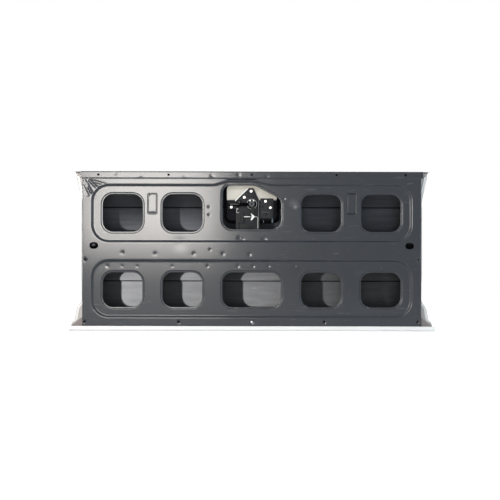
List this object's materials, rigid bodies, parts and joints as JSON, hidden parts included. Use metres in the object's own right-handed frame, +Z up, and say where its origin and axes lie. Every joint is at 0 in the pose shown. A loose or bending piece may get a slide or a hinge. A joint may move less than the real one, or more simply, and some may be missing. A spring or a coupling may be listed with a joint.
{
  "type": "pickup truck tailgate",
  "caption": "Pickup truck tailgate seen from the bed side: pressed inner panel with rows of rounded access openings over an outer skin, with an exposed handle release",
  "frame": {"origin": "Middle of the flat bottom flange, on its underside, at mid depth between the panel's face and the handle housing's face", "axes": "+X along the gate to the picture's right, +Y from the load bed out through the skin, +Z up with the gate closed"},
  "size_m": [1.47, 0.064, 0.641],
  "materials": {
    "painted_steel": "gloss black primer",
    "outer_paint": "pale satin paint",
    "closure_primer": "warm grey primer",
    "bracket_steel": "satin black",
    "plated_steel": "zinc plated",
    "housing_plastic": "grained black",
    "handle_plastic": "fine grained black"
  },
  "bodies": {
    "gate": {"inner_panel": "painted_steel", "outer_skin": "outer_paint", "middle_stiffener": "painted_steel", "handle_pocket": "outer_paint", "handle_housing": "housing_plastic", "handle_pivot": "plated_steel", "base_plate": "bracket_steel", "side_bracket": "bracket_steel", "plate_bolts": "plated_steel", "bracket_screws": "plated_steel", "hub_pivot": "plated_steel", "tension_spring": "plated_steel", "bent_wire": "plated_steel", "end_closure_right": "closure_primer", "end_closure_left": "closure_primer", "latch_plate_right": "painted_steel", "latch_plate_left": "painted_steel", "hinge_plate_right": "painted_steel", "hinge_plate_left": "painted_steel", "corner_gusset_right": "closure_primer", "corner_gusset_left": "closure_primer"},
    "crank": {"release_crank": "bracket_steel"},
    "handle": {"pull_handle": "handle_plastic"}
  },
  "joints": [
    {"name": "handle_hinge", "type": "hinge", "parent": "gate", "child": "handle", "pos_m": [0, 0.015, 0.53], "axis": [1, 0, 0], "range_deg": [0, 25]},
    {"name": "crank_hinge", "type": "hinge", "parent": "gate", "child": "crank", "pos_m": [0, -0.015, 0.51], "axis": [0, -1, 0], "range_deg": [0, 18]}
  ],
  "couplings": [
    {"joint": "crank_hinge", "follows": "handle_hinge", "ratio": 0.712}
  ]
}
